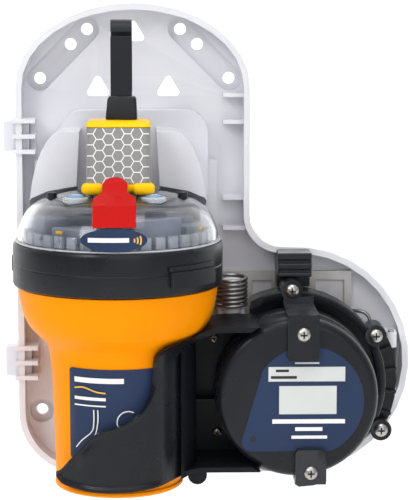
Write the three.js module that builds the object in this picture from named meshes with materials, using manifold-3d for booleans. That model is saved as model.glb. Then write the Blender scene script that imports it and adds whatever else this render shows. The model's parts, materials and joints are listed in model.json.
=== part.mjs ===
// Emergency position beacon: a beacon held in a wall tray by a hydrostatic release module.
// Millimetres. +X right, +Y into the wall, +Z up. The wall is the plane y = 0.
import * as THREE from "three";
import { mergeVertices } from "three/addons/utils/BufferGeometryUtils.js";
import Module from "manifold-3d";

const wasm = await Module();
wasm.setup();

// ---------- driving dimensions ----------
const GAP = 0.3; // clearance between touching pieces
const TRAY = {
  halfWidth: 61, archTop: 131.7, archBase: 88, bottom: -116.5, corner: 33,
  depth: 22, wall: 3.2, floorFront: -8, floorBack: -5,
  lobeX: 85, lobeZ: -56, lobeR: 60.5, notchR: 17, notchZ: 21.5,
};
const BEACON = { x: -7.3, y: -62, bodyTop: -8, bottom: -111 };
const HRU = {
  x: 82.6, z: -64, ringR: 48.4, ringBack: -26, ringFront: -42, puckR: 40.8, face: -80, seat: -46,
};
const HINGE = { x: 135.2, y: -27, r: 1.6, barrel: 3.2, upper: -44, lower: -72 }; // the module's upright pin
const COIL = { x: 51, y: -35, r: 7.2, wire: 1.25, low: -24, high: -9, turns: 5 };
const TOWER = {
  mid: -6.5, half: 16, top: 74.7, bottom: 40.3, frontLow: -84.6, frontHigh: -76.5, back: -56, skin: 1.2,
};
const SLEEVE = { low: 44.7, high: 71.5, proud: 1.1 }; // reflective band round the antenna tower
const BOOT = { mid: -5.1, half: 7.8, low: 75, high: 86 };
const BLADE = { left: -10.4, right: 0.2, thick: 1.6, front: -65, rear: -53, joint: 115.9, loopZ: 118 };
// The release module's label: a disc at (x, z) and the round corner at its lower left.
const LABEL = { x: 88, z: -65.5, r: 28.2, cornerX: 59.2, cornerZ: -86.3, cornerR: 5 };
const INLET = { x: 60.3, z: -84.5, r: 1.2 }; // water inlet through the module's cover
const SMOOTH = 36; // sides of the large round parts
const FINE = 20; // sides of the middling round parts
const COARSE = 12; // sides of the small round parts
const ROUND = 32; // sides of the beacon's own turned parts
const SIDES = 16; // sides of pins and posts
const BEND = 6; // facets in each curve of an outline

// ---------- geometry helpers ----------
// A closed three.js geometry as a solid, turned face-out.
function solid(geometry) {
  const plain = (geometry.index ? geometry.toNonIndexed() : geometry).clone();
  plain.deleteAttribute("normal");
  plain.deleteAttribute("uv");
  const merged = mergeVertices(plain, 1e-4);
  const vertProperties = merged.attributes.position.array;
  const triVerts = new Uint32Array(merged.index.array);
  const make = () => new wasm.Manifold(new wasm.Mesh({ numProp: 3, vertProperties, triVerts }));
  const made = make();
  if (made.volume() > 0) return made;
  triVerts.reverse();
  return make();
}
const join = (...pieces) => pieces.reduce((all, piece) => all.add(piece));
const cut = (body, ...tools) => tools.reduce((left, tool) => left.subtract(tool), body);

function box(x0, x1, y0, y1, z0, z1) {
  const g = new THREE.BoxGeometry(x1 - x0, y1 - y0, z1 - z0);
  return solid(g.translate((x0 + x1) / 2, (y0 + y1) / 2, (z0 + z1) / 2));
}
// An outline drawn in the X-Z plane, standing from y0 (front) to y1 (back).
function prism(shape, y0, y1, curveSegments = BEND) {
  const g = new THREE.ExtrudeGeometry(shape, { depth: y1 - y0, bevelEnabled: false, curveSegments });
  return solid(g.rotateX(Math.PI / 2).translate(0, y1, 0));
}
// An outline drawn in the Y-Z plane, running from x0 to x1.
function sideways(points, x0, x1) {
  const shape = new THREE.Shape(points.map(([y, z]) => new THREE.Vector2(y, z)));
  const g = new THREE.ExtrudeGeometry(shape, { depth: x1 - x0, bevelEnabled: false });
  return solid(g.rotateX(Math.PI / 2).rotateZ(Math.PI / 2).translate(x0, 0, 0));
}
// A round post along Y.
function post(x, z, r, y0, y1, sides = SIDES) {
  return solid(new THREE.CylinderGeometry(r, r, y1 - y0, sides).translate(x, (y0 + y1) / 2, z));
}
// A round post along Z.
function column(x, y, r, z0, z1, sides = SIDES) {
  const g = new THREE.CylinderGeometry(r, r, z1 - z0, sides).rotateX(Math.PI / 2);
  return solid(g.translate(x, y, (z0 + z1) / 2));
}
// A [radius, height] profile turned about the vertical axis at (x, y).
function turned(profile, x, y, segments = ROUND) {
  const points = profile.map(([r, h]) => new THREE.Vector2(r, h));
  return solid(new THREE.LatheGeometry(points, segments).rotateX(Math.PI / 2).translate(x, y, 0));
}
// A [radius, y] profile turned about a Y axis at (x, z).
function spun(profile, x, z, segments = ROUND) {
  const points = profile.map(([r, y]) => new THREE.Vector2(r, y));
  return solid(new THREE.LatheGeometry(points, segments).translate(x, 0, z));
}
// A slot outline with round ends of radius r, from point a to point b.
function oblong([ax, az], [bx, bz], r) {
  const along = Math.atan2(bz - az, bx - ax);
  const s = new THREE.Shape();
  s.absarc(bx, bz, r, along - Math.PI / 2, along + Math.PI / 2);
  s.absarc(ax, az, r, along + Math.PI / 2, along + 1.5 * Math.PI);
  return s;
}
function roundedBox(x0, x1, z0, z1, r) {
  const s = new THREE.Shape();
  s.absarc(x1 - r, z0 + r, r, -Math.PI / 2, 0);
  s.absarc(x1 - r, z1 - r, r, 0, Math.PI / 2);
  s.absarc(x0 + r, z1 - r, r, Math.PI / 2, Math.PI);
  s.absarc(x0 + r, z0 + r, r, Math.PI, 1.5 * Math.PI);
  return s;
}
// A round wire of radius r along a list of points.
function wire(points, r, steps, sides = 8) {
  const stops = points.map((p) => new THREE.Vector3(...p));
  const path = new THREE.CatmullRomCurve3(stops, false, "catmullrom", 0.3);
  const section = new THREE.Shape();
  for (let i = 0; i < sides; i++) {
    const a = (2 * Math.PI * i) / sides;
    section[i ? "lineTo" : "moveTo"](r * Math.cos(a), r * Math.sin(a));
  }
  return solid(new THREE.ExtrudeGeometry(section, { steps, extrudePath: path, curveSegments: 1 }));
}

// ---------- materials and assembly ----------
const paint = (color, roughness, metalness = 0) => ({ color, roughness, metalness });
const WHITE = paint(0xe4e4ea, 0.45);
const BLACK = paint(0x2a2c31, 0.5);
const ORANGE = paint(0xff9f00, 0.4);
const YELLOW = paint(0xfdc800, 0.4);
const RED = paint(0xe02010, 0.35);
const NAVY = paint(0x34466a, 0.5);
const CLEAR = paint(0xc8d4e4, 0.1);
const STEEL = paint(0x9a968e, 0.35, 1);
const BOARD = paint(0x2f5a44, 0.6);
const GREY = paint(0x8c8c8a, 0.5);
const PALE = paint(0xcdd0cb, 0.4);

const beaconAssembly = new THREE.Group();
function add(name, body, look) {
  const got = body.getMesh();
  const g = new THREE.BufferGeometry();
  g.setAttribute("position", new THREE.BufferAttribute(new Float32Array(got.vertProperties), 3));
  g.setIndex(new THREE.BufferAttribute(new Uint32Array(got.triVerts), 1));
  const mesh = new THREE.Mesh(g, new THREE.MeshStandardMaterial(look));
  mesh.name = name;
  beaconAssembly.add(mesh);
}

// ---------- wall tray ----------
// The tray outline, drawn in by `inset` on every side.
function trayOutline(inset) {
  const { halfWidth: w, archTop, archBase, bottom, corner, lobeX, lobeZ, lobeR, notchR, notchZ } = TRAY;
  const low = bottom + inset;
  const r = lobeR - inset;
  const s = new THREE.Shape();
  s.absarc(-w + corner, bottom + corner, corner - inset, Math.PI, 1.5 * Math.PI);
  s.absarc(lobeX, lobeZ, r, -Math.PI / 2, Math.PI / 2 - 0.12);
  s.absarc(w + notchR, notchZ, notchR + inset, 1.5 * Math.PI, Math.PI, true);
  s.absellipse(0, archBase, w - inset, archTop - archBase - inset, 0, Math.PI);
  s.lineTo(-w + inset, low + corner);
  return s;
}
const CLIP_HEIGHTS = [63, -56.8]; // where the cover clips hook into the left rim
const SCREW_PADS = [
  [[-24.2, 118], [-49.2, 92.3]],
  [[24.8, 118], [50.4, 92.3]],
  [[-50, -86], [-50, -85.9]],
  [[40, -104], [60, -104]],
];
const HOLES = [
  [-24.2, 118], [-32.9, 110.1], [-49.2, 92.3], [24.8, 118], [33.7, 110.1], [50.4, 92.3], [-50, -86],
];
const HOLE_R = 3.15;
const KEYHOLES = [[-18.5, 87.2], [18.5, 87.2], [0, 116]];
const SLAT_HEIGHTS = [84, 70, 30, 14]; // ribs down the inside of the right wall
// A keyhole triangle with round corners, point up.
function triangle(x, z, size) {
  const s = new THREE.Shape();
  for (const turn of [-30, 90, 210]) {
    const a = (turn * Math.PI) / 180;
    const third = Math.PI / 3;
    s.absarc(x + size * Math.cos(a), z + size * Math.sin(a), 1.8, a - third, a + third);
  }
  return s;
}
function backTray() {
  const { depth, wall, floorFront, floorBack } = TRAY;
  const pads = SCREW_PADS.map(([a, b]) => prism(oblong(a, b, 9), -7, 0));
  const recesses = SCREW_PADS.map(([a, b]) => prism(oblong(a, b, 6.4), -30, -3));
  const holes = HOLES.map(([x, z]) => post(x, z, HOLE_R, -10, 1, COARSE));
  const keyholes = KEYHOLES.map(([x, z]) => prism(triangle(x, z, 4.6), -10, 1, 3));
  const ribs = CLIP_HEIGHTS.flatMap((z) => [-8, 0, 8].map((dz) =>
    box(-62.8, -50.8, -23.6, floorFront + 1, z + dz - 1.1, z + dz + 1.1)));
  const slats = SLAT_HEIGHTS.map((z) => box(47, 59, -17, floorFront + 1, z - 1, z + 1));
  const shell = cut(
    prism(trayOutline(0), -depth, 0, 8),
    prism(trayOutline(wall), -depth - 1, floorFront, 8),
    prism(trayOutline(wall), floorBack, 1, 8),
  );
  const lugs = CLIP_HEIGHTS.map((z) => box(-61, -51, -12, -6, z - 7, z + 7));
  const centrePad = box(-20, 20, -7, 0, -20, 20);
  const hingeLugs = [HINGE.upper, HINGE.lower].map((z) => hingeKnuckle(z));
  const body = join(shell, ...pads, ...ribs, ...slats, ...lugs, centrePad, ...hingeLugs);
  return cut(body, ...recesses, ...holes, ...keyholes, hingeBore(), ...clipSockets());
}
// A knuckle that stands up from the tray floor and carries the module's hinge pin.
function hingeKnuckle(z) {
  const { x, y, barrel } = HINGE;
  const half = 4;
  const web = box(x - barrel, x + barrel, y, TRAY.floorFront + 2, z - half, z + half);
  return join(web, column(x, y, barrel, z - half, z + half));
}
const hingeBore = () => column(HINGE.x, HINGE.y, HINGE.r + GAP, HINGE.lower - 6, HINGE.upper + 6);
const clipSockets = () => CLIP_HEIGHTS.map((z) => box(-64, -54, -18, -10 + GAP, z - 8.3, z + 8.3));
function coverClip(z) {
  return box(-68, -54.4, -17, -10, z - 8, z + 8);
}

// ---------- cradle for the beacon's dome ----------
function domeProfile(grow) {
  return [[0, 12], [51 + grow, 12], [50.4 + grow, 20], [48.6 + grow, 27], [44.6 + grow, 32.6 + grow],
    [38, 36 + grow], [24, 38.8 + grow], [0, 39.8 + grow]];
}
function domeCradle() {
  const mid = BEACON.x;
  const lug = (side) => {
    const s = new THREE.Shape();
    s.moveTo(mid + side * 22, 24);
    s.lineTo(mid + side * 44, 24);
    s.lineTo(mid + side * 45, 32);
    s.quadraticCurveTo(mid + side * 41, 66, mid + side * 28, 67.5);
    s.lineTo(mid + side * 19.5, 67.5);
    return prism(s, -50, -10);
  };
  const rear = prism(roundedBox(-38, 39, 24, 76.5, 12), -22, TRAY.floorFront - GAP);
  const foot = box(-52, 44, -14, TRAY.floorFront - GAP, 14, 50);
  const sweep = turned(domeProfile(1.2), mid, BEACON.y, SMOOTH);
  const rearHalf = box(-80, 80, BEACON.y, -10, -20, 20);
  const collarRoom = column(mid, BEACON.y, 52.4, -20, 20, SMOOTH).intersect(rearHalf);
  const towerRoom = box(mid - 18, mid + 18, -60, -34, 20, 90);
  return cut(join(lug(-1), lug(1), rear, foot), sweep, collarRoom, towerRoom);
}

// ---------- release hardware on the tray ----------
function torsionSpring() {
  const { x, y, r, low, high, turns } = COIL;
  const points = [];
  const steps = turns * 12;
  for (let i = 0; i <= steps; i++) {
    const a = Math.PI + (2 * Math.PI * turns * i) / steps;
    points.push([x + r * Math.cos(a), y + r * Math.sin(a), low + ((high - low) * i) / steps]);
  }
  return wire(points, COIL.wire, turns * 10, 6);
}
function springPost() {
  const { x, y, r, low, high } = COIL;
  const base = box(x - 7, x + 7, -20, TRAY.floorFront - GAP, low - 6, low - 2);
  const shelf = box(x - 7, x + 7, y, -18, low - 6, low - 2);
  return join(base, shelf, column(x, y, r - COIL.wire - 1, low - 4, high - 1));
}
function steelPlate() {
  const frame = box(30, 116, -10, TRAY.floorFront - GAP, -34, -10);
  const window = (x0, x1, z0, z1) => box(x0, x1, -12, -6, z0, z1);
  return cut(frame, window(97, 112, -30, -15), window(63, 73, -30, -15), window(43.4, 58.6, -31, -25));
}
function wireBail() {
  const route = [[111, -12.4, -31], [116, -17, -30.3], [121.2, -21, -30.4], [124.2, -22, -33],
    [124.8, -22.5, -38]];
  return wire(route, 1, 16, 6);
}
function quickReleaseBlock() {
  const block = join(box(75, 92.5, -38, -22.4, -9, 3.5), box(75, 92.5, -25.6, -10 - GAP, -16, 0.2));
  const grooves = [-11, -6, -1].map((z) => box(74, 93.5, -39, -36.6, z - 1, z + 1));
  return cut(block, ...grooves);
}

add("back_tray", backTray(), WHITE);
add("dome_cradle", domeCradle(), WHITE);
add("cover_clip_upper", coverClip(CLIP_HEIGHTS[0]), WHITE);
add("cover_clip_lower", coverClip(CLIP_HEIGHTS[1]), WHITE);
add("spring_post", springPost(), WHITE);
add("torsion_spring", torsionSpring(), STEEL);
add("steel_plate", steelPlate(), STEEL);
add("wire_bail", wireBail(), STEEL);
add("quick_release_block", quickReleaseBlock(), BLACK);
add("module_hinge_pin", column(HINGE.x, HINGE.y, HINGE.r, -77, -39), STEEL);

// ---------- hydrostatic release module ----------
const EARS = [[81.7, -15], [125.3, -38.7], [128.5, -88.5]];
const RIB_ANGLES = [-19, -6.5, 6.5, 19]; // degrees above the ring's right-hand side
const SCREW_BORE = 1.8; // radius of the holes the screws pass through
const CLAMP = { half: 7.8, thick: 3, corner: 2.5 };
// Each clamp's tab reaches from `near` to `far` from the module's axis, above (out 1) or below (out -1) it.
const CLAMPS = [
  { name: "top", x: 85.1, screwZ: -31, out: 1, near: 19.4, far: 43.2 },
  { name: "bottom", x: 89.1, screwZ: -101.5, out: -1, near: 25.6, far: 44.5 },
];
// A pan-head screw standing along Y, with a cross recess.
function screw(x, z, headFront, shankBack, headR = 3.6) {
  const headBack = headFront + 2;
  const shank = SCREW_BORE - GAP;
  const head = spun([[0, headFront], [headR * 0.7, headFront], [headR, headFront + 1.2], [headR, headBack],
    [shank, headBack], [shank, shankBack], [0, shankBack]], x, z, FINE);
  const arm = headR * 0.55; // half the length of the recess
  const slot = (halfX, halfZ) =>
    box(x - halfX, x + halfX, headFront - 1, headFront + 0.9, z - halfZ, z + halfZ);
  return cut(head, slot(arm, 0.5), slot(0.5, arm));
}
function moduleRing() {
  const { x, z, ringR, ringBack, ringFront } = HRU;
  const inside = 44.5;
  const floor = -29.5;
  const wall = spun([[42, ringBack], [ringR, ringBack], [ringR, ringFront], [inside, ringFront],
    [inside, floor], [42, floor], [42, ringBack]], x, z, SMOOTH);
  const plate = post(x, z, 45, floor, ringBack, SMOOTH);
  const rightOnly = box(118, 160, -40, -20, -86, -42);
  const rim = post(x, z, 55, -35, -31, SMOOTH).intersect(rightOnly);
  const flange = cut(rim, post(x, z, 46, -40, -25, ROUND));
  const ribs = RIB_ANGLES.map((deg) => {
    const a = (deg * Math.PI) / 180;
    const g = new THREE.BoxGeometry(7.6, 5, 1.4).translate(51.1, -35.5, 0).rotateY(-a).translate(x, 0, z);
    return solid(g);
  });
  const ears = EARS.map(([ex, ez]) => post(ex, ez, 5.6, -46, -29, FINE));
  const earHoles = EARS.map(([ex, ez]) => post(ex, ez, SCREW_BORE, -50, -34, COARSE));
  const clampSeats = CLAMPS.map((c) => band(c, 41.8, 46, HRU.seat, -41));
  const barrel = join(
    column(HINGE.x, HINGE.y, HINGE.barrel, -67.4, -48.6),
    box(128, HINGE.x, -29.5, HINGE.y, -67.4, -48.6),
  );
  const body = join(wall, plate, flange, ...ribs, ...ears, ...clampSeats, barrel);
  const pinBore = column(HINGE.x, HINGE.y, HINGE.r + GAP, -70, -46);
  return cut(body, pinBore, ...earHoles, armPocket(), springRoom());
}
const HRU_COIL = { r: 11, wireR: 0.9, turns: 4, perTurn: 12, front: -61, pitch: 2.64 };
// The left side of the ring is open where the release arm passes to its seat.
const armPocket = () => box(20, 66.3, -50, -29.8, -107, -28);
const springRoom = () => box(20, 60.8, -50, -25, -31.8, -10);
function hruCase() {
  const { x, z, puckR } = HRU;
  return spun([[0, -45], [puckR, -45], [puckR, -61], [37.5, -61], [37.5, -48], [6, -48],
    [6, -46.5], [0, -46.5]], x, z, SMOOTH);
}
function hruCover() {
  const { x, z, puckR, face } = HRU;
  const shell = spun([[0, face], [37, face], [puckR - 0.8, face + 2.6], [puckR, face + 5], [puckR, -61.3],
    [37.5, -61.3], [37.5, face + 3], [0, face + 3]], x, z, SMOOTH);
  const inlet = post(INLET.x, INLET.z, INLET.r, face - 1, face + 4, COARSE);
  const screwHoles = CLAMPS.map((c) => post(c.x, c.screwZ, SCREW_BORE, face - 1, face + 3.2, COARSE));
  return cut(shell, inlet, ...screwHoles, prism(labelOutline(0), face - 1, face + 0.8, FINE));
}
// The label's outline: a disc with a straight left side, a rounded lower corner and a flat foot.
function labelOutline(inset) {
  const { x, z, r, cornerX, cornerZ, cornerR } = LABEL;
  const foot = cornerZ - cornerR + inset;
  const s = new THREE.Shape();
  s.absarc(x, z, r - inset, Math.asin((foot - z) / (r - inset)), 0.81 * Math.PI);
  s.absarc(cornerX, cornerZ, cornerR - inset, 0.92 * Math.PI, 1.5 * Math.PI);
  return s;
}
function hruLabel() {
  const body = prism(labelOutline(GAP), HRU.face + 0.2, HRU.face + 0.5, FINE);
  return cut(body, post(INLET.x, INLET.z, INLET.r + GAP, HRU.face - 1, HRU.face + 2, COARSE));
}
function hruSpring() {
  const { r, wireR, turns, perTurn, front, pitch } = HRU_COIL;
  const points = [];
  for (let i = 0; i <= turns * perTurn; i++) {
    const a = (2 * Math.PI * i) / perTurn;
    points.push([HRU.x + r * Math.cos(a), front + (i * pitch) / perTurn, HRU.z + r * Math.sin(a)]);
  }
  return wire(points, wireR, turns * 10, 5);
}
function hruPiston() {
  const profile = [[0, -74], [7, -74], [7, -66], [15, -66], [15, -64], [4, -64], [4, -48.6], [0, -48.6]];
  return spun(profile, HRU.x, HRU.z, FINE);
}
function hruMembrane() {
  const profile = [[16, -65], [26, -67], [37, -63], [37, -62.2], [26, -66], [16, -64], [16, -65]];
  return spun(profile, HRU.x, HRU.z);
}
// A bar across a clamp's width, between two distances from the module's axis.
function band({ x, out }, near, far, y0, y1) {
  const ends = [HRU.z + out * near, HRU.z + out * far];
  return box(x - CLAMP.half, x + CLAMP.half, y0, y1, Math.min(...ends), Math.max(...ends));
}
// An L-shaped clamp: a round-ended tab on the cover's face and a leg down its side.
function clamp(place) {
  const { x, screwZ, out, near, far } = place;
  const back = HRU.face - GAP;
  const front = back - CLAMP.thick;
  const ends = [HRU.z + out * near, HRU.z + out * far];
  const { half, corner } = CLAMP;
  const outline = roundedBox(x - half, x + half, Math.min(...ends), Math.max(...ends), corner);
  const tab = prism(outline, front, back).intersect(post(HRU.x, HRU.z, far, front, back, SMOOTH));
  const leg = band(place, HRU.puckR + 0.5, far - 0.6, back - 1, HRU.seat - GAP);
  return cut(join(tab, leg), post(x, screwZ, SCREW_BORE, front - 1, back + 1, COARSE));
}
function clampScrew({ x, screwZ }) {
  return screw(x, screwZ, HRU.face - 5.4, HRU.face + 2.6);
}

// ---------- beacon outline ----------
// The outside of the lower body, grown by `grow`.
function bodyProfile(grow) {
  const outline = [[31, -111], [33, -108.6], [32, -104.6], [33.5, -60], [35, -39.5], [38, -35.5],
    [42, -31.5], [45.8, -26], [48.8, -18], [50.4, -11.3], [50.4, BEACON.bodyTop - GAP]];
  const grown = outline.map(([r, h]) => [r + grow, h]);
  const low = BEACON.bottom - grow;
  return [[0, low], [31 + grow, low], ...grown, [0, BEACON.bodyTop - GAP]];
}

// ---------- release arm ----------
const ARM = { right: 66, left: 14, front: -83, floor: -46, inner: 36.3, outer: 39.5, wall: 2.6 };
const ARM_SCREWS = [[41.6, -39.4], [43.2, -89]];
function scoopOutline() {
  const s = new THREE.Shape();
  s.moveTo(-37.5, -100);
  s.quadraticCurveTo(-33, -90, -24, -79);
  s.quadraticCurveTo(-20, -74, -8, -72);
  s.quadraticCurveTo(8, -66, 9, -45);
  s.quadraticCurveTo(9, -34, 20, -33);
  s.lineTo(34, -33);
  s.lineTo(34, -102);
  s.quadraticCurveTo(20, -104.5, 8, -105.6);
  s.quadraticCurveTo(-14, -109, -33, -104.4);
  s.quadraticCurveTo(-36.5, -103, -37.5, -100);
  return s;
}
// The channel beside the scoop, drawn in by `inset`; it is open to the right.
function channelOutline(inset) {
  const s = new THREE.Shape();
  const left = ARM.left + 3 * inset;
  const right = ARM.right + inset;
  s.moveTo(left, -103.5 + inset);
  s.lineTo(34, -101 + inset);
  s.lineTo(right, -101 + inset);
  s.lineTo(right, -27.2 - inset);
  s.lineTo(43, -27.4 - inset);
  s.lineTo(31, -31 - inset);
  s.lineTo(left, -35.5 - inset);
  return s;
}
function releaseArm() {
  const { right, left, front, floor, inner, outer, wall } = ARM;
  const { x, y } = BEACON;
  const around = (r) => column(x, y, r, -112, -20, SMOOTH);
  const scoop = prism(scoopOutline(), -110, -66).intersect(cut(around(outer), around(inner)));
  const outside = prism(channelOutline(0), front, floor + 3);
  const tray = cut(outside, prism(channelOutline(wall), front - 8, floor));
  const midRib = box(22, 44, -56, floor, -71, -69.4);
  const foot = box(46, right, floor, -30.2, -100, -34);
  const nub = post(32.3, -103, 4.8, -80, -64, FINE);
  const screwHoles = ARM_SCREWS.map(([sx, sz]) => post(sx, sz, 1.9, -50, -40, COARSE));
  const beaconRoom = turned(bodyProfile(1.4), x, y);
  const puckRoom = post(HRU.x, HRU.z, HRU.puckR + 0.8, -95, -44.4, SMOOTH);
  const trough = cut(tray, around(inner), box(-50, left + 0.5, -95, -20, -110, -20));
  const inside = prism(channelOutline(wall), -90, floor);
  const hollow = box(49, right + 1, floor - 1, -33, -97, -37);
  const body = join(scoop, trough, midRib, cut(foot, hollow), cut(nub, inside));
  return cut(body, beaconRoom, puckRoom, clampRoom(), ...screwHoles);
}
// The arm's walls stop short of the clamps that hold the module's cover.
const clampRoom = () => join(...CLAMPS.map((c) => band(c, 30, 48, -95, -44)));

add("module_ring", moduleRing(), BLACK);
EARS.forEach(([x, z], i) => add(`ear_screw_${i + 1}`, screw(x, z, -48.4, -36), STEEL));
add("hru_case", hruCase(), BLACK);
add("hru_membrane", hruMembrane(), BLACK);
add("hru_spring", hruSpring(), STEEL);
add("hru_piston", hruPiston(), GREY);
add("hru_cover", hruCover(), BLACK);
add("hru_label", hruLabel(), NAVY);
for (const c of CLAMPS) {
  add(`${c.name}_clamp`, clamp(c), BLACK);
  add(`${c.name}_clamp_screw`, clampScrew(c), STEEL);
}
add("release_arm", releaseArm(), BLACK);
ARM_SCREWS.forEach(([x, z], i) => add(`arm_screw_${i + 1}`, screw(x, z, -48.4, -43.6, 2.6), STEEL));

// ---------- beacon ----------
const aboutAxis = (profile, segments = ROUND) => turned(profile, BEACON.x, BEACON.y, segments);
function beaconBody() {
  const room = [[0, -108.4], [29, -108.4], [29.4, -104], [30.8, -60], [32.4, -40], [43, -27], [47.8, -11],
    [47.8, 0], [0, 0]];
  return cut(aboutAxis(bodyProfile(0)), aboutAxis(room));
}
function collar() {
  const ring = aboutAxis([[46, -7.7], [52, -7.7], [52.8, -6.4], [52.8, 2.8], [52.5, 3.1], [52.8, 3.4],
    [52.8, 12.8], [52.2, 14], [51.4, 14], [51.4, 1], [46, 1], [46, -7.7]]);
  const rim = aboutAxis([[51.8, -3], [55.4, -3], [55.4, 7.5], [51.8, 7.5], [51.8, -3]]);
  return join(ring, prism(roundedBox(17, 40, -2, 6.5, 2), -120, -62).intersect(rim));
}
const BUTTONS = [{ name: "test_button", x: -27 }, { name: "power_button", x: 10.5 }];
const BUTTON = { y: -84, r: 4.3, low: 33.4, high: 39.4 };
const CONTACTS = [{ name: "water_contact_left", x: -40 }, { name: "water_contact_right", x: 25.4 }];
const CONTACT = { y: -66, r: 2.5, low: 31.6, high: 38.6 };
const CELL = { r: 8.8, orbit: 14.5, low: -98.7, high: -58 };
const CELLS = [0, 1, 2];
function clearDome() {
  const outer = domeProfile(0).map(([r, h]) => [r, h === 12 ? 3.3 : h]);
  const inner = [[0, 2], [48.6, 2], [48.2, 20], [46.4, 26.2], [43, 30.8], [37, 34], [23.5, 36.6],
    [0, 37.6]];
  const spare = 0.4;
  const holes = BUTTONS.map((b) => column(b.x, BUTTON.y, BUTTON.r + spare, 30, 50, FINE));
  const contactHoles = CONTACTS.map((c) => column(c.x, CONTACT.y, CONTACT.r + spare, 30, 50));
  return cut(aboutAxis(outer), aboutAxis(inner), ...holes, ...contactHoles);
}
function battery(index) {
  const a = (2 * Math.PI * index) / CELLS.length;
  return [BEACON.x + CELL.orbit * Math.cos(a), BEACON.y + CELL.orbit * Math.sin(a)];
}
function batteryHolder() {
  const bores = CELLS.map((i) => column(...battery(i), CELL.r + 0.4, CELL.low - GAP, -40, FINE));
  return cut(column(BEACON.x, BEACON.y, 26.5, -103, -58, ROUND), ...bores);
}
function chassis() {
  const plate = column(BEACON.x, BEACON.y, 45.4, -6, -3, ROUND);
  const posts = [0, 1, 2, 3].map((i) => {
    const a = ((i + 0.5) * Math.PI) / 2;
    return column(BEACON.x + 36 * Math.cos(a), BEACON.y + 36 * Math.sin(a), 2.4, -4, 8, COARSE);
  });
  return cut(join(plate, ...posts), column(BEACON.x, BEACON.y, 20, -10, 0, FINE));
}
function mainBoard() {
  const board = column(BEACON.x, BEACON.y, 44, 8.3, 10, ROUND);
  const parts = [[-34, -22, -92, -80, 16], [8, 22, -90, -78, 22], [-30, -16, -50, -38, 14],
    [4, 20, -52, -40, 18]];
  return join(board, ...parts.map(([x0, x1, y0, y1, top]) => box(x0, x1, y0, y1, 9, top)));
}
// The tower's side outline, grown by `grow` front and back.
function towerSide(grow) {
  const { top, bottom, frontLow, frontHigh, back } = TOWER;
  return [[frontLow - grow, bottom], [back + grow, bottom], [back + grow, top], [frontHigh - grow, top]];
}
function tower(grow) {
  const half = TOWER.half - TOWER.skin + grow;
  return sideways(towerSide(grow), TOWER.mid - half, TOWER.mid + half);
}
const sleeveBand = (spare) => box(-60, 60, -120, 0, SLEEVE.low - spare, SLEEVE.high + spare);
function antennaTower() {
  const core = join(tower(0), cut(tower(TOWER.skin), sleeveBand(GAP)));
  return cut(core, box(-10.6, 1.4, -70, -58, 60, 80));
}
function antennaBoot() {
  const { mid, half, low, high } = BOOT;
  const block = sideways([[-68, low], [-57, low], [-56, high], [-67, high]], mid - half, mid + half);
  return cut(block, box(mid - 4, mid + 4, -63, -60, low + 4, high + 1));
}
// The blade's top is a loop that hangs down behind the stem.
function bladeTip() {
  const { left, right, front, rear, thick, loopZ } = BLADE;
  const middle = (front + rear) / 2;
  const r = (rear - front) / 2;
  const steps = 10;
  const arc = (radius, from, to) => Array.from({ length: steps + 1 }, (_, i) => {
    const a = from + ((to - from) * i) / steps;
    return [middle + radius * Math.cos(a), loopZ + radius * Math.sin(a)];
  });
  const outline = [
    ...arc(r, Math.PI, 0),
    [rear, 88],
    [rear - thick, 88],
    ...arc(r - thick, 0, Math.PI),
  ];
  return sideways(outline, left, right);
}
function bladeStem() {
  const { left, right, front, thick, joint } = BLADE;
  return box(left, right, front, front + thick, BOOT.high + GAP, joint);
}
function safetyLatch() {
  const side = [[-86.6, 48], [-89, 48.4], [-100.5, 41.4], [-110, 37], [-114, 26.7], [-112.4, 26.7],
    [-109.2, 34], [-104, 37.6], [-90, 42], [-86.6, 44.8]];
  const beside = (x0, x1) => box(x0, x1, -110, -80, 41.2, 60);
  return cut(sideways(side, -18.3, 2.6), beside(-20, -14.2), beside(-1.6, 5));
}
function namePlate() {
  const oval = new THREE.Shape().absellipse(-8.1, 20.6, 16, 5.6, 0, 2 * Math.PI);
  const ring = aboutAxis([[51.4, 10], [52.6, 10], [52.6, 30], [51.4, 30], [51.4, 10]]);
  return prism(oval, -120, -90, FINE).intersect(ring);
}
function bodyLabel() {
  const skin = cut(aboutAxis(bodyProfile(0.75)), aboutAxis(bodyProfile(0.35)));
  return prism(roundedBox(-31, 16, -92, -45.6, 1.5), -120, -66).intersect(skin);
}

add("beacon_body", beaconBody(), ORANGE);
add("collar", collar(), BLACK);
add("dome_seal", aboutAxis([[46.4, 1.3], [50.9, 1.3], [50.9, 3], [46.4, 3], [46.4, 1.3]]), BLACK);
add("clear_dome", clearDome(), CLEAR);
add("chassis", chassis(), GREY);
add("main_board", mainBoard(), BOARD);
add("radio_board", box(-24, 10, -64, -62.4, -52, -7), BOARD);
add("battery_holder", batteryHolder(), GREY);
for (const i of CELLS) {
  add(`battery_cell_${i + 1}`, column(...battery(i), CELL.r, CELL.low, CELL.high, FINE), NAVY);
}
add("gnss_antenna", box(-20, 6, -74, -50, 22.4, 27), PALE);
add("strobe_lamp", aboutAxis([[0, 28], [9, 28], [9, 30], [6, 33.5], [0, 34.6]], FINE), YELLOW);
for (const b of BUTTONS) add(b.name, column(b.x, BUTTON.y, BUTTON.r, BUTTON.low, BUTTON.high, FINE), NAVY);
for (const c of CONTACTS) add(c.name, column(c.x, CONTACT.y, CONTACT.r, CONTACT.low, CONTACT.high), BLACK);
add("name_plate", namePlate(), NAVY);
add("body_label", bodyLabel(), NAVY);
add("antenna_tower", antennaTower(), YELLOW);
add("reflective_sleeve", cut(tower(SLEEVE.proud).intersect(sleeveBand(0)), tower(GAP)), GREY);
add("antenna_boot", antennaBoot(), BLACK);
add("blade_stem", bladeStem(), BLACK);
add("blade_tip", bladeTip(), BLACK);
add("safety_latch", safetyLatch(), RED);

export default beaconAssembly;
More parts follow.
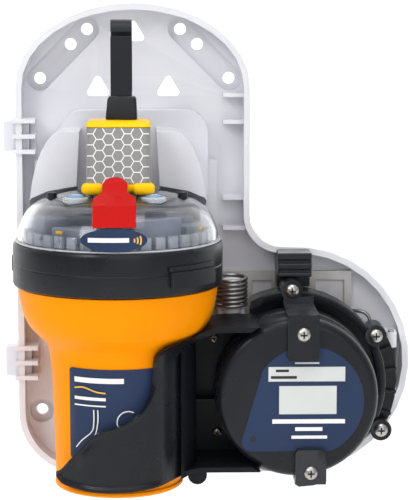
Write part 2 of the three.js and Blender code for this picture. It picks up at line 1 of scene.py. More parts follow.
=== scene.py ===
# Emergency position beacon in its float-free bracket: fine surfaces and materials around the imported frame.
# Millimetres, times MM where Blender needs metres. +X right, +Y into the wall, +Z up.
import json
import math
import bmesh
import bpy
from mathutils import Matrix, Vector


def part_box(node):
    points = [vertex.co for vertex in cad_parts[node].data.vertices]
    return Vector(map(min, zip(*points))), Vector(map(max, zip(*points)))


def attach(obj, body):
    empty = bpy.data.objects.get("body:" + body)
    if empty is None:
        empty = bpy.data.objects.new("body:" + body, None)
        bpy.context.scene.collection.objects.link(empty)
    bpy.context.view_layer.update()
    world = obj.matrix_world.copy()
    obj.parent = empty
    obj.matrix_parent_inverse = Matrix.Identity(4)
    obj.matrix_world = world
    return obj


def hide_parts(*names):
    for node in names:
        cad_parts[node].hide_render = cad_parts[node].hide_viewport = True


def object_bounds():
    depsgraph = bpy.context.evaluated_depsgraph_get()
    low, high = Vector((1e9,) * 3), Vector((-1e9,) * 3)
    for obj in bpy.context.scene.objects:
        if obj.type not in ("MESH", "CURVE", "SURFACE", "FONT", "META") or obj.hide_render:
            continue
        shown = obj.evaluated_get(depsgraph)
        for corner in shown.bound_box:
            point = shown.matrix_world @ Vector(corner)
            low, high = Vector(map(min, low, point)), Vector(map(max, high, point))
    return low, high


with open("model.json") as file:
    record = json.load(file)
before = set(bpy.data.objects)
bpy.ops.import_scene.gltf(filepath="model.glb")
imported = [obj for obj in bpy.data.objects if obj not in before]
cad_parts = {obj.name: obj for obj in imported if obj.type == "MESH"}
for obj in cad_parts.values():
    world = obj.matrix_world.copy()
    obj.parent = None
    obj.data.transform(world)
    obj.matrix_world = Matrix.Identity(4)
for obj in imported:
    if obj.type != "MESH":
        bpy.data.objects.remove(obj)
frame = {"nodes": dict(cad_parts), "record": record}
CAD_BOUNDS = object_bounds()
MM = 0.001


# ---------- camera, floor and light ----------
CAMERA_AT = Vector((14, -1000, 140.5)) * MM
CAMERA_TO = Vector((38, 0, 0)) * MM
LENS_MM = 135.4  # on a 36 mm sensor
LIGHTS_AIM_AT = Vector((0.03, -0.03, 0))
LIGHTS = (  # name, place and size in metres, power in watts
    ("key", (-0.6, -0.85, 0.75), 0.4, 4.6),
    ("front", (0.3, -1.5, 0.6), 1.1, 4.8),
    ("top", (0.1, -0.35, 1.0), 0.6, 4.2),
)
FLOOR_GLOW, FLOOR_SIZE, FLOOR_BELOW = 0.14, 8, 0.12
BACKDROP_GLOW, BACKDROP_SIZE, BACKDROP_Y = 0.7, 12, 1.5
SKY_BELOW, SKY_ABOVE = 0.16, 0.62  # how bright the studio's dome is under and over the object
SKY_DARK_AT, SKY_BRIGHT_AT = -0.7, 0.9  # heights on the dome, from -1 below to 1 above, where those hold


def make_camera():
    data = bpy.data.cameras.new("camera")
    data.lens = LENS_MM
    data.clip_start = 0.05
    camera = bpy.data.objects.new("camera", data)
    bpy.context.scene.collection.objects.link(camera)
    camera.location = CAMERA_AT
    camera.rotation_euler = (CAMERA_TO - CAMERA_AT).to_track_quat("-Z", "Y").to_euler()
    bpy.context.scene.camera = camera


def area_light(name, place, size, power):
    data = bpy.data.lights.new(name, "AREA")
    data.size = size
    data.energy = power
    lamp = bpy.data.objects.new(name, data)
    bpy.context.scene.collection.objects.link(lamp)
    lamp.location = place
    lamp.rotation_euler = (LIGHTS_AIM_AT - lamp.location).to_track_quat("-Z", "Y").to_euler()


def make_studio():
    world = bpy.data.worlds.new("studio")
    bpy.context.scene.world = world
    world.use_nodes = True
    background = world.node_tree.nodes["Background"]
    background.inputs["Color"].default_value = (1, 1, 1, 1)
    tree = world.node_tree
    direction = tree.nodes.new("ShaderNodeTexCoord")
    split = tree.nodes.new("ShaderNodeSeparateXYZ")
    height = tree.nodes.new("ShaderNodeMapRange")
    height.inputs["From Min"].default_value = SKY_DARK_AT
    height.inputs["From Max"].default_value = SKY_BRIGHT_AT
    height.inputs["To Min"].default_value = SKY_BELOW
    height.inputs["To Max"].default_value = SKY_ABOVE
    tree.links.new(direction.outputs["Generated"], split.inputs["Vector"])
    tree.links.new(split.outputs["Z"], height.inputs["Value"])
    tree.links.new(height.outputs["Result"], background.inputs["Strength"])
    bpy.context.scene.view_settings.view_transform = "Standard"
    for light in LIGHTS:
        area_light(*light)
    floor_z = CAD_BOUNDS[0][2] - FLOOR_BELOW
    bpy.ops.mesh.primitive_plane_add(size=FLOOR_SIZE, location=(0, 0, floor_z))
    floor = bpy.context.object
    floor.name = "studio_floor"
    floor.data.materials.append(glowing("floor_white", FLOOR_GLOW))
    upright = (math.radians(90), 0, 0)
    bpy.ops.mesh.primitive_plane_add(size=BACKDROP_SIZE, location=(0, BACKDROP_Y, 0), rotation=upright)
    backdrop = bpy.context.object
    backdrop.name = "studio_backdrop"
    backdrop.data.materials.append(glowing("backdrop_white", BACKDROP_GLOW))


# ---------- materials ----------
def new_material(name):
    material = bpy.data.materials.new(name)
    material.use_nodes = True
    tree = material.node_tree
    return material, tree, tree.nodes["Principled BSDF"]


def glowing(name, strength):
    """A white studio sheet, lit a little from within."""
    material, _, shader = new_material(name)
    shader.inputs["Base Color"].default_value = (0.9, 0.9, 0.9, 1)
    shader.inputs["Roughness"].default_value = 0.9
    shader.inputs["Emission Color"].default_value = (1, 1, 1, 1)
    shader.inputs["Emission Strength"].default_value = strength
    return material


def noise(tree, scale, detail, stretch=(1, 1, 1)):
    place = tree.nodes.new("ShaderNodeTexCoord")
    mapping = tree.nodes.new("ShaderNodeMapping")
    mapping.inputs["Scale"].default_value = stretch
    texture = tree.nodes.new("ShaderNodeTexNoise")
    texture.inputs["Scale"].default_value = scale
    texture.inputs["Detail"].default_value = detail
    tree.links.new(place.outputs["Object"], mapping.inputs["Vector"])
    tree.links.new(mapping.outputs["Vector"], texture.inputs["Vector"])
    return texture.outputs["Fac"]


def ramp(tree, source, low, high, start=0.3, end=0.7):
    node = tree.nodes.new("ShaderNodeValToRGB")
    node.color_ramp.elements[0].position = start
    node.color_ramp.elements[1].position = end
    node.color_ramp.elements[0].color = low
    node.color_ramp.elements[1].color = high
    tree.links.new(source, node.inputs["Fac"])
    return node.outputs["Color"]


def worn_edges(tree, colour, wear):
    """Lightens the colour along sharp outer edges, where handling rubs it."""
    geometry = tree.nodes.new("ShaderNodeNewGeometry")
    mask = ramp(tree, geometry.outputs["Pointiness"], (0, 0, 0, 1), (1, 1, 1, 1), 0.53, 0.62)
    mix = tree.nodes.new("ShaderNodeMix")
    mix.data_type = "RGBA"
    mix.inputs["B"].default_value = (*wear, 1)
    tree.links.new(mask, mix.inputs["Factor"])
    tree.links.new(colour, mix.inputs["A"])
    return mix.outputs["Result"]


def bump(tree, shader, height, strength, distance):
    node = tree.nodes.new("ShaderNodeBump")
    node.inputs["Strength"].default_value = strength
    node.inputs["Distance"].default_value = distance
    tree.links.new(height, node.inputs["Height"])
    tree.links.new(node.outputs["Normal"], shader.inputs["Normal"])


def surface(name, colour, roughness, grain=2200, depth=0.25, spread=0.07, metal=0, wear=None,
            stretch=(1, 1, 1), through=0, shine=0.34):
    """A moulded or drawn surface: soft colour variation, uneven gloss, fine grain and rubbed edges."""
    material, tree, shader = new_material(name)
    dark = (*[c * (1 - spread) for c in colour], 1)
    light = (*[min(1, c * (1 + spread)) for c in colour], 1)
    tint = ramp(tree, noise(tree, 26, 3), dark, light)
    if wear:
        tint = worn_edges(tree, tint, wear)
    tree.links.new(tint, shader.inputs["Base Color"])
    dull = (roughness - 0.06,) * 3 + (1,)
    bright = (min(1, roughness + 0.08),) * 3 + (1,)
    tree.links.new(ramp(tree, noise(tree, 90, 4), dull, bright), shader.inputs["Roughness"])
    shader.inputs["Metallic"].default_value = metal
    shader.inputs["Transmission Weight"].default_value = through
    shader.inputs["Specular IOR Level"].default_value = shine
    bump(tree, shader, noise(tree, grain, 2, stretch), depth, 0.00012)
    return material


def clear_plastic():
    material, tree, shader = new_material("dome_clear")
    tint = ramp(tree, noise(tree, 30, 2), (0.9, 0.93, 0.97, 1), (0.97, 0.98, 1, 1))
    tree.links.new(tint, shader.inputs["Base Color"])
    shader.inputs["Transmission Weight"].default_value = 1
    shader.inputs["IOR"].default_value = 1.4
    gloss = ramp(tree, noise(tree, 140, 3), (0.02,) * 3 + (1,), (0.12,) * 3 + (1,))
    tree.links.new(gloss, shader.inputs["Roughness"])
    bump(tree, shader, noise(tree, 160, 2), 0.12, 0.0003)
    return material


def make_materials():
    white = surface("tray_white", (0.72, 0.72, 0.77), 0.4, 1500, 0.12, 0.03,
        wear=(0.76, 0.76, 0.8), shine=0.25)
    black = surface("housing_black", (0.0085, 0.0095, 0.013), 0.3, 2600, 0.2, 0.25,
        wear=(0.03, 0.032, 0.038), shine=0.26)
    return {
        "white_plastic": white,
        "black_plastic": black,
        "black_rubber": surface("rubber_black", (0.011, 0.012, 0.016), 0.4, 3200, 0.35, 0.2, shine=0.26),
        "spring_steel": surface("spring_steel_drawn", (0.33, 0.325, 0.31), 0.36, 900, 0.3, 0.2, 1,
            stretch=(1, 1, 9)),
        "plated_screw": surface("screw_nickel", (0.5, 0.49, 0.46), 0.32, 1500, 0.2, 0.15, 1),
        "orange_plastic": surface("body_orange", (0.97, 0.3, 0.0), 0.38, 2400, 0.16, 0.03,
            wear=(1, 0.34, 0.0), shine=0.06),
        "yellow_plastic": surface("tower_yellow", (1.0, 0.56, 0.0), 0.36, 2400, 0.2, 0.04, shine=0.15),
        "red_plastic": surface("latch_red", (0.5, 0.003, 0.002), 0.26, 1800, 0.1, 0.06, shine=0.12),
        "navy_label": surface("label_navy", (0.02, 0.037, 0.09), 0.42, 3500, 0.1, 0.08, shine=0.2),
        "clear_plastic": clear_plastic(),
        "grey_plastic": surface("inner_grey", (0.36, 0.38, 0.42), 0.5, 1800, 0.2, 0.1),
        "circuit_board": surface("board_green", (0.05, 0.12, 0.1), 0.45, 1200, 0.4, 0.3),
        "battery_wrap": surface("cell_wrap", (0.05, 0.1, 0.25), 0.35, 1200, 0.15, 0.1),
        "key_plastic": surface("key_blue", (0.2, 0.36, 0.58), 0.35, 1800, 0.15, 0.1),
        "reflective_film": surface("film_grey", (0.24, 0.24, 0.235), 0.42, 5200, 0.5, 0.12),
    }


MATERIALS = make_materials()
FROSTED = surface("dome_frosted", (0.8, 0.83, 0.88), 0.3, 1800, 0.2, 0.1, through=0.5)
INNER_BLUE = surface("carrier_blue_grey", (0.27, 0.3, 0.37), 0.45, 1600, 0.25, 0.25)
PRINT_WHITE = surface("print_white", (0.85, 0.85, 0.84), 0.5, 3000, 0.08, 0.03)
WINDOW_GREY = surface("label_window", (0.62, 0.645, 0.63), 0.45, 2600, 0.08, 0.03)
PRINT_GOLD = surface("print_gold", (0.85, 0.5, 0.08), 0.45, 2600, 0.08, 0.05)
# Black print for outlines and label lines; also laid as thin dark pieces in the screw recesses and the
# cover's inlet, as painted shade of those hollows.
BLACK_PRINT_AND_HOLE_SHADE = surface("print_black_and_hole_shade", (0.02, 0.02, 0.024), 0.5, 3000, 0.08, 0.1)
# A darker, rougher, less shiny copy of the housing black for the release arm's channel; the darker colour is
# painted shade in that recess.
CHANNEL_BLACK_SHADED = surface("channel_black_painted_shade", (0.006, 0.007, 0.01), 0.42, 2400, 0.2, 0.2, shine=0.18)
PLATE_STEEL = surface("plate_steel_brushed", (0.6, 0.59, 0.57), 0.5, 1200, 0.3, 0.12, 0.8,
    stretch=(9, 1, 1))
SLOT_OF = {part["node"]: part["material_slot"] for part in frame["record"]["subparts"]}
for node_name, node_object in frame["nodes"].items():
    node_object.data.materials.clear()
    node_object.data.materials.append(MATERIALS[SLOT_OF[node_name]])


# ---------- mesh helpers ----------
def finish_mesh(mesh, sharp=38):
    """Smooth shading, with edges sharper than the angle kept crisp."""
    work = bmesh.new()
    work.from_mesh(mesh)
    bmesh.ops.recalc_face_normals(work, faces=work.faces)
    for face in work.faces:
        face.smooth = True
    for edge in work.edges:
        edge.smooth = edge.is_manifold and edge.calc_face_angle(0) < math.radians(sharp)
    work.to_mesh(mesh)
    work.free()


def link_piece(name, mesh, material, body, bevel=0.0, segments=2, sharp=38):
    mesh.materials.clear()
    mesh.materials.append(MATERIALS[material] if isinstance(material, str) else material)
    finish_mesh(mesh, sharp)
    piece = bpy.data.objects.new(name, mesh)
    bpy.context.scene.collection.objects.link(piece)
    if bevel:
        rounding = piece.modifiers.new("rounding", "BEVEL")
        rounding.width = bevel * MM
        rounding.segments = segments
        rounding.limit_method = "ANGLE"
        rounding.angle_limit = math.radians(sharp)
        rounding.harden_normals = True
    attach(piece, body)
    return piece


def body_of_node(node):
    return next(body for body, members in frame["record"]["behaviour"]["bodies"].items() if node in members)


def rounded(node, bevel, segments=2, sharp=38):
    """A CAD node with its flat faces made whole and its edges rounded."""
    mesh = frame["nodes"][node].data.copy()
    work = bmesh.new()
    work.from_mesh(mesh)
    bmesh.ops.remove_doubles(work, verts=work.verts, dist=1e-6)
    bmesh.ops.dissolve_limit(work, angle_limit=math.radians(0.6), verts=work.verts, edges=work.edges)
    work.to_mesh(mesh)
    work.free()
    piece = link_piece(node + "_fine", mesh, SLOT_OF[node], body_of_node(node), bevel, segments, sharp)
    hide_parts(node)
    return piece


def angles(degrees):
    return [math.radians(d) for d in degrees]


def from_faces(points, faces):
    mesh = bpy.data.meshes.new("piece")
    mesh.from_pydata([Vector(p) * MM for p in points], [], faces)
    return mesh


def lathe(profile, centre, axis="Z", steps=144):
    """A closed [radius, height] profile turned about an axis; radius 0 points close on the axis."""
    points, rings = [], []
    for radius, height in profile:
        ring = []
        for i in range(1 if radius == 0 else steps):
            a = 2 * math.pi * i / steps
            u, v = radius * math.cos(a), radius * math.sin(a)
            ring.append(len(points))
            if axis == "Z":
                points.append((centre[0] + u, centre[1] + v, height))
            else:
                points.append((centre[0] + u, height, centre[1] + v))
        rings.append(ring)
    closed = profile[0][0] > 0
    pairs = list(zip(rings, rings[1:])) + ([(rings[-1], rings[0])] if closed else [])
    faces = []
    for low, high in pairs:
        for i in range(steps):
            j = (i + 1) % steps
            if len(low) == 1 and len(high) > 1:
                faces.append((low[0], high[i], high[j]))
            elif len(high) == 1 and len(low) > 1:
                faces.append((low[i], low[j], high[0]))
            elif len(low) > 1:
                faces.append((low[i], low[j], high[j], high[i]))
    return from_faces(points, faces)


def slab(outline, thickness, place):
    """An outline of (u, v) points given a thickness; place(u, v, depth) returns each point."""
    n = len(outline)
    points = [place(u, v, 0) for u, v in outline] + [place(u, v, thickness) for u, v in outline]
    faces = [tuple(range(n)), tuple(range(2 * n - 1, n - 1, -1))]
    faces += [(i, i + n, (i + 1) % n + n, (i + 1) % n) for i in range(n)]
    return from_faces(points, faces)


def smooth_curve(points, per_span=6):
    """Catmull-Rom points through a short list of given ones."""
    out = []
    last = len(points) - 1
    for i in range(last):
        p = [points[max(0, i - 1)], points[i], points[i + 1], points[min(last, i + 2)]]
        for k in range(per_span):
            t = k / per_span
            weights = (-t**3 + 2 * t**2 - t, 3 * t**3 - 5 * t**2 + 2, -3 * t**3 + 4 * t**2 + t, t**3 - t**2)
            out.append([0.5 * sum(w * q[axis] for w, q in zip(weights, p)) for axis in range(len(p[0]))])
    return out + [list(points[-1])]


def strip(points):
    """A thin flat stroke: each group of four points is one cross-section of it."""
    last = len(points) - 4
    faces = []
    for b in range(0, last, 4):
        faces += [(b, b + 1, b + 5, b + 4), (b + 2, b + 6, b + 7, b + 3), (b + 1, b + 3, b + 7, b + 5),
            (b, b + 4, b + 6, b + 2)]
    faces += [(0, 2, 3, 1), (last, last + 1, last + 3, last + 2)]
    return from_faces(points, faces)


def stitched(points, count):
    """Rings of `count` points each, joined in order and closed at both ends."""
    rings = len(points) // count
    faces = []
    for i in range(rings - 1):
        for k in range(count):
            m = (k + 1) % count
            faces.append((i * count + k, i * count + m, (i + 1) * count + m, (i + 1) * count + k))
    faces += [tuple(range(count))[::-1], tuple((rings - 1) * count + k for k in range(count))]
    return from_faces(points, faces)


def joined(meshes):
    """Several meshes as one."""
    work = bmesh.new()
    for mesh in meshes:
        work.from_mesh(mesh)
    out = bpy.data.meshes.new("piece")
    work.to_mesh(out)
    work.free()
    return out


def bored(mesh, cutter):
    """The mesh with another mesh cut out of it."""
    body, tool = bpy.data.objects.new("body_to_bore", mesh), bpy.data.objects.new("boring_tool", cutter)
    for thing in (body, tool):
        bpy.context.scene.collection.objects.link(thing)
    boring = body.modifiers.new("boring", "BOOLEAN")
    boring.operation = "DIFFERENCE"
    boring.solver = "EXACT"
    boring.object = tool
    bpy.context.view_layer.update()
    result = bpy.data.meshes.new_from_object(body.evaluated_get(bpy.context.evaluated_depsgraph_get()))
    for thing in (body, tool):
        bpy.data.objects.remove(thing)
    return result


BOX_FACES = [(0, 1, 3, 2), (4, 6, 7, 5), (0, 4, 5, 1), (2, 3, 7, 6), (0, 2, 6, 4), (1, 5, 7, 3)]


def block(x0, x1, y0, y1, z0, z1):
    corners = [(x, y, z) for x in (x0, x1) for y in (y0, y1) for z in (z0, z1)]
    return from_faces(corners, BOX_FACES)


# ---------- places read from the frame ----------
def node_box(node):
    low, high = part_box(node)
    return [c / MM for c in low], [c / MM for c in high]


def middle(node):
    low, high = node_box(node)
    return [(a + b) / 2 for a, b in zip(low, high)]


AXIS = middle("collar")[0], middle("clear_dome")[1]
PUCK = middle("hru_case")[0], middle("hru_case")[2]
TOWER_MID = middle("antenna_tower")[0]
TOWER_LEAN = 8.1 / 34.4  # how far the tower's front goes back for each millimetre up
TOWER_SKIN = 1.2  # how far the tower stands out above and below the reflective band


# ---------- beacon ----------
def make_body():
    low, high = node_box("beacon_body")
    foot, top = low[2], high[2]
    wall = smooth_curve([(32.2, foot + 6), (33.5, -60), (34.8, -44), (35.6, -39.4), (37.4, -36.2),
        (40.8, -32.9), (44.3, -29.2), (47.2, -24), (49, -17.5), (50.1, -10)], 8)
    profile = [(0, foot + 1.6), (27, foot + 1.6), (28, foot), (31.4, foot), (32.6, foot + 1),
        (32.6, foot + 2.4), (31.6, foot + 3)]
    inside = [(50.4, top), (47.9, top), (47.8, -11), (43, -27), (32.4, -40), (29.2, -100), (0, -101)]
    profile += [tuple(p) for p in wall] + inside
    piece = link_piece("beacon_body_fine", lathe(profile, AXIS), "orange_plastic", "beacon", 0.3)
    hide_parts("beacon_body")


COLLAR_PADS = (  # radii, angles in degrees and heights of the raised pads round the collar
    (52, 55.3, -60, -29, -3.6, 4.4),
    (52, 54.2, -61.5, -28, 4.4, 7),
    (52, 53.6, 150, 178, -1.6, 6.2),
)


def make_collar():
    low, high = node_box("collar")
    r = (high[0] - low[0]) / 2
    base, top = low[2], high[2]
    profile = [(46, base), (r - 1.2, base), (r - 0.5, base + 0.4), (r - 0.1, base + 1.4), (r - 0.1, 2.6),
        (r - 0.5, 2.9), (r - 0.5, 3.3), (r - 0.1, 3.6), (r, top - 2.6), (r - 0.3, top - 1), (r - 1, top),
        (51.3, top), (51.3, 1), (46, 1)]
    parts = [lathe(profile, AXIS, steps=180)] + [curved_block(*pad) for pad in COLLAR_PADS]
    piece = link_piece("collar_fine", joined(parts), "black_plastic", "beacon", 0.6, 3)
    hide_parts("collar")


def curved_block(inner, outer, a0, a1, z0, z1, steps=14):
    """A block bent round the beacon's axis, between two angles in degrees."""
    cx, cy = AXIS
    points = []
    for i in range(steps + 1):
        a = math.radians(a0 + (a1 - a0) * i / steps)
        for r, z in ((inner, z0), (outer, z0), (outer, z1), (inner, z1)):
            points.append((cx + r * math.cos(a), cy + r * math.sin(a), z))
    return stitched(points, 4)


DOME_TOP = [(0, 39.8), (10, 39.6), (24, 38.5), (37, 35.2), (43.2, 31.8), (47, 27)]  # radius, height
DOME_BORES = (  # the dome is open round each key and water contact, by this radius
    ("test_button", 4.7), ("power_button", 4.7), ("water_contact_left", 2.9), ("water_contact_right", 2.9),
)


def make_dome():
    outer = smooth_curve([(50.4, 14.6), (49.9, 20)] + DOME_TOP[:0:-1], 5)
    inner = smooth_curve([(10, 37.5), (23.5, 36.4), (36, 33.2), (41.4, 30), (45, 25.8), (47.8, 20),
        (48.3, 14.6)], 5)
    profile = [DOME_TOP[0]] + [tuple(p) for p in reversed(outer)] + [(50.9, 14.2), (50.9, 3.4), (48.4, 3.4)]
    profile += [tuple(p) for p in reversed(inner)] + [(0, 37.6)]
    cutters = [lathe([(0, 28), (r, 28), (r, 46), (0, 46)], middle(node)[:2], steps=40)
        for node, r in DOME_BORES]
    shell = bored(lathe(profile, AXIS, steps=160), joined(cutters))
    piece = link_piece("dome_fine", shell, "clear_plastic", "beacon", sharp=50)
    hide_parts("clear_dome")
    ribs = [curved_block(45, 47.2, a - 3.1, a + 3.1, 14.8, 20.6, steps=3) for a in range(0, 360, 9)]
    link_piece("dome_inner_ribs", joined(ribs), FROSTED, "beacon", 0.4)
    rim = lathe([(48.6, 14.3), (51.6, 14.3), (51.6, 15), (48.6, 15)], AXIS)
    link_piece("dome_rim", rim, FROSTED, "beacon", 0.2)


HOUSINGS = (  # from and to in degrees, radii, top
    (-78, -40, 24, 41, 28.5), (-36, -8, 28, 42, 24), (-140, -104, 26, 41, 24), (-176, -146, 28, 42, 28),
    (20, 80, 26, 41, 27), (100, 160, 26, 41, 26),
)


def make_inside():
    """The moulded carrier that shows through the dome, with its housings and the indicator lamps."""
    parts = [lathe([(0, 10.4), (43.6, 10.4), (43.6, 12), (0, 12)], AXIS)]
    parts += [curved_block(inner, outer, a0, a1, 12.2, top) for a0, a1, inner, outer, top in HOUSINGS]
    link_piece("inner_carrier", joined(parts), INNER_BLUE, "beacon", 1.2, 3)
    lamps = [curved_block(43.4, 44.6, a - 2.6, a + 2.6, 21.4, 23, steps=3) for a in (-128, -24)]
    link_piece("indicator_lamps", joined(lamps), "yellow_plastic", "beacon", 0.4)


def make_key_outlines():
    """Thin printed outlines round the two keys, lying on the dome."""
    half, spans = 0.32, 12
    corners = [(-38, -76), (-20, -73.5), (-18.6, -93.5), (-31, -91.5)]
    mirrored = [(2 * TOWER_MID - x - 3.4, y) for x, y in corners]
    for name, path in (("test_outline", corners), ("power_outline", mirrored)):
        strips = []
        for (x0, y0), (x1, y1) in zip(path, path[1:] + path[:1]):
            run = Vector((x1 - x0, y1 - y0)).normalized()
            side = Vector((-run.y, run.x)) * half
            points = []
            for i in range(spans + 1):
                x, y = x0 + (x1 - x0) * i / spans, y0 + (y1 - y0) * i / spans
                for k in (1, -1):
                    px, py = x + side.x * k, y + side.y * k
                    z = between(DOME_TOP, math.hypot(px - AXIS[0], py - AXIS[1]))
                    points += [(px, py, z - 0.1), (px, py, z + 0.12)]
            strips.append(strip(points))
        link_piece(name, joined(strips), BLACK_PRINT_AND_HOLE_SHADE, "beacon")


def make_keys():
    make_key_outlines()
    for node, glyph in (("test_button", "bar"), ("power_button", "ring")):
        cx, cy, _ = middle(node)
        top = node_box(node)[1][2]
        profile = [(0, top), (3.4, top - 0.1), (4.2, top - 0.7), (4.3, top - 1.6), (4.3, top - 5.8),
            (0, top - 5.8)]
        cap = lathe(profile, (cx, cy), steps=48)
        piece = link_piece(node + "_fine", cap, "key_plastic", body_of_node(node))
        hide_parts(node)
        if glyph == "ring":
            section = [(1.5, top - 0.02), (2.3, top - 0.06), (2.3, top + 0.12), (1.5, top + 0.12)]
            mark = lathe(section, (cx, cy), steps=32)
        else:
            mark = block(cx - 2, cx + 2, cy - 0.5, cy + 0.5, top - 0.2, top + 0.12)
        link_piece(node + "_mark", mark, PRINT_WHITE, body_of_node(node))
        section = [(4.9, top - 4), (6.6, top - 4.6), (6.6, top - 1.6), (4.9, top - 0.9)]
        link_piece(node + "_surround", lathe(section, (cx, cy), steps=48), FROSTED, "beacon", 0.3)
    for node in ("water_contact_left", "water_contact_right"):
        rounded(node, 0.5, 3)


def loft(sections, corner_steps=7):
    """Rounded rectangles stacked up Z: each is (z, x0, x1, y0, y1, corner radius)."""
    points = []
    for z, x0, x1, y0, y1, r in sections:
        centres = ((x1 - r, y1 - r), (x0 + r, y1 - r), (x0 + r, y0 + r), (x1 - r, y0 + r))
        for k, (cx, cy) in enumerate(centres):
            for i in range(corner_steps + 1):
                a = math.radians(90 * k + 90 * i / corner_steps)
                points.append((cx + r * math.cos(a), cy + r * math.sin(a), z))
    return stitched(points, 4 * (corner_steps + 1))


def tower_section(z, grow, inset=0.0, corner=3.4):
    """The tower's plan at a height: its front face leans back as it rises."""
    low, high = node_box("antenna_tower")
    front = low[1] + TOWER_SKIN + (z - low[2]) * TOWER_LEAN
    return (z, low[0] + TOWER_SKIN - grow + inset, high[0] - TOWER_SKIN + grow - inset, front - grow + inset,
        high[1] - TOWER_SKIN + grow - inset, corner)


def make_tower():
    low, high = node_box("antenna_tower")
    band = node_box("reflective_sleeve")
    edge = [(0.0, 2.4), (0.4, 1.4), (1.1, 0.6), (2, 0.15)]  # distance from the end, and how far drawn in
    sections = [tower_section(low[2] + d, TOWER_SKIN, i) for d, i in edge]
    sections += [tower_section(band[0][2] - 0.4, TOWER_SKIN), tower_section(band[0][2] - 0.3, 0.2),
        tower_section(band[1][2] + 0.3, 0.2), tower_section(band[1][2] + 0.4, TOWER_SKIN)]
    sections += [tower_section(high[2] - d, TOWER_SKIN, i) for d, i in reversed(edge)]
    piece = link_piece("antenna_tower_fine", loft(sections), "yellow_plastic", "beacon", sharp=50)
    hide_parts("antenna_tower")
    wrap = [tower_section(band[0][2], 1.0), tower_section(band[1][2], 1.0)]
    piece = link_piece("reflective_sleeve_fine", loft(wrap), "reflective_film", "beacon", 0.15)
    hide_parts("reflective_sleeve")
    apart, half = 12.4, 5.6
    lugs = [block(side * apart + TOWER_MID - half, side * apart + TOWER_MID + half, -87.4, -79, 39.4, 45)
        for side in (-1, 1)]
    link_piece("tower_lugs", joined(lugs), "yellow_plastic", "beacon", 2.5, 5)
    make_boot_and_blade()
    make_latch()
    make_honeycomb()


def make_boot_and_blade():
    low, high = node_box("antenna_boot")
    x0, y0, base = low
    x1, y1, top = high
    corner = 1.5
    boot = [
        (base, x0, x1, y0, y1, corner),
        (base + 1, x0, x1, y0, y1, corner),
        (top - 1.2, x0 + 0.9, x1 - 0.4, y0 + 1, y1, corner),
        (top, x0 + 1.6, x1 - 1, y0 + 1.8, y1 - 0.6, corner),
    ]
    piece = link_piece("antenna_boot_fine", loft(boot), "black_rubber", "beacon", 0.3)
    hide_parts("antenna_boot")
    rounded("blade_stem", 0.35, 2)
    rounded("blade_tip", 0.35, 3, sharp=50)


def make_latch():
    """A hooked front block below a round-topped tab."""
    low, high = node_box("safety_latch")
    side = [(-98.5, 42.2), (-104.5, 39.8), (-110, 37), (low[1], low[2]), (-112.4, low[2]), (-109.2, 34),
        (-104, 37.6), (-97.8, 39.6)]
    front = slab(side, high[0] - low[0], lambda u, v, d: (low[0] + d, u, v))
    mid, half = (low[0] + high[0]) / 2, 6.2
    shoulder, crown, waist = 44.4, 3.8, 0.42
    for vertex in front.vertices:
        narrow = ease(vertex.co.y / MM, -105, -98)
        vertex.co.x = (mid + (vertex.co.x / MM - mid) * (1 - waist * narrow)) * MM
    tab = [(mid - half, 39.5), (mid + half, 39.5), (mid + half, shoulder)]
    tab += [(mid + half * math.cos(a), shoulder + crown * math.sin(a)) for a in angles(range(12, 180, 12))]
    tab += [(mid - half, shoulder)]
    slope = (high[1] + 100.5) / 7.4
    sheet = slab(tab, 1.8, lambda u, v, d: (u, -101.5 + (v - 40.6) * slope + d, v))
    piece = link_piece("safety_latch_fine", joined([front, sheet]), "red_plastic", "latch", 0.5, 3)
    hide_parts("safety_latch")


def clipped(p, q, x_min, x_max, z_min, z_max):
    """The part of a straight run from p to q that lies inside a rectangle, or None."""
    start, end = 0.0, 1.0
    for axis, low, high in ((0, x_min, x_max), (1, z_min, z_max)):
        step = q[axis] - p[axis]
        if abs(step) < 1e-6:
            if not low <= p[axis] <= high:
                return None
            continue
        near, far = sorted(((low - p[axis]) / step, (high - p[axis]) / step))
        start, end = max(start, near), min(end, far)
    if end - start < 0.08:
        return None
    return [(p[0] + (q[0] - p[0]) * t, p[1] + (q[1] - p[1]) * t) for t in (start, end)]


def make_honeycomb():
    """Raised net of hexagon walls on the front of the reflective sleeve."""
    low, high = node_box("reflective_sleeve")
    pitch, wall, proud = 5.3, 0.24, 0.14
    rise = pitch * math.sqrt(3) / 2
    lean = low[1] + 0.1, TOWER_LEAN
    x_min, x_max, z_min, z_max = low[0] + 0.9, high[0] - 0.9, low[2] + 0.2, high[2] - 0.2
    corner = pitch / math.sqrt(3)
    points, faces = [], []
    seen = set()
    for column in range(-5, 6):
        for row in range(-5, 6):
            cx = (x_min + x_max) / 2 + column * rise
            cz = (z_min + z_max) / 2 + (row + 0.5 * (column % 2)) * pitch
            for k in range(6):
                a, b = math.radians(60 * k), math.radians(60 * k + 60)
                p = (cx + corner * math.cos(a), cz + corner * math.sin(a))
                q = (cx + corner * math.cos(b), cz + corner * math.sin(b))
                key = tuple(sorted((tuple(round(c, 1) for c in p), tuple(round(c, 1) for c in q))))
                if key in seen or not clipped(p, q, x_min, x_max, z_min, z_max):
                    continue
                p, q = clipped(p, q, x_min, x_max, z_min, z_max)
                seen.add(key)
                run = Vector((q[0] - p[0], q[1] - p[1])).normalized() * wall
                side = Vector((-run.y, run.x))
                base = len(points)
                for end, along in ((p, -0.5), (q, 0.5)):
                    for out in (1, -1):
                        x, z = end[0] + run.x * along + side.x * out, end[1] + run.y * along + side.y * out
                        face_y = lean[0] + lean[1] * (z - low[2])
                        points += [(x, face_y + 0.2, z), (x, face_y - proud, z)]
                faces += [tuple(base + c for c in face) for face in BOX_FACES]
    link_piece("sleeve_honeycomb", from_faces(points, faces), PRINT_WHITE, "beacon")


